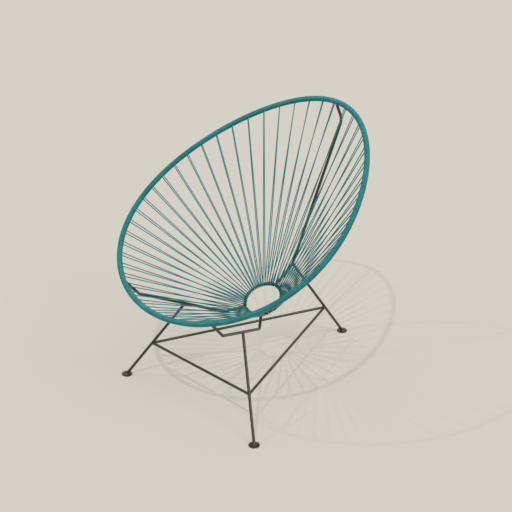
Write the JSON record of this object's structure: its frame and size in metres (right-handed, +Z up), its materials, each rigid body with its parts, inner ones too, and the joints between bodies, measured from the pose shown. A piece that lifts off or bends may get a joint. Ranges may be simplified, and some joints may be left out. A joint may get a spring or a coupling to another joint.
{
  "type": "lounge chair",
  "caption": "Round basket lounge chair strung with thin teal cord from an egg-shaped hoop to a small ring, on a three-legged dark steel rod frame with disc feet.",
  "frame": {"origin": "on the floor, under the middle of the chair's bounding box", "axes": "+Z up, the seat faces -Y and leans back towards +Y, +X is the sitter's left; the feet stand on Z = 0"},
  "size_m": [0.7454, 0.8176, 0.8158],
  "materials": {
    "powder_coated_steel": "satin powder coat, dark bronze",
    "pvc_cord": "satin"
  },
  "bodies": {
    "root": {"hoop_rod": "powder_coated_steel", "seat_ring": "powder_coated_steel", "basket_rod_front_left": "powder_coated_steel", "basket_rod_front_right": "powder_coated_steel", "basket_rod_rear": "powder_coated_steel", "leg_front_left": "powder_coated_steel", "leg_front_right": "powder_coated_steel", "leg_rear": "powder_coated_steel", "foot_front_left": "powder_coated_steel", "foot_front_right": "powder_coated_steel", "foot_rear": "powder_coated_steel", "stretcher_front": "powder_coated_steel", "stretcher_left": "powder_coated_steel", "stretcher_right": "powder_coated_steel", "seat_cord_top": "pvc_cord", "seat_cord_left_1": "pvc_cord", "seat_cord_left_2": "pvc_cord", "seat_cord_left_3": "pvc_cord", "seat_cord_left_4": "pvc_cord", "seat_cord_left_5": "pvc_cord", "seat_cord_left_6": "pvc_cord", "seat_cord_front": "pvc_cord", "seat_cord_right_1": "pvc_cord", "seat_cord_right_2": "pvc_cord", "seat_cord_right_3": "pvc_cord", "seat_cord_right_4": "pvc_cord", "seat_cord_right_5": "pvc_cord", "seat_cord_right_6": "pvc_cord"}
  },
  "joints": []
}
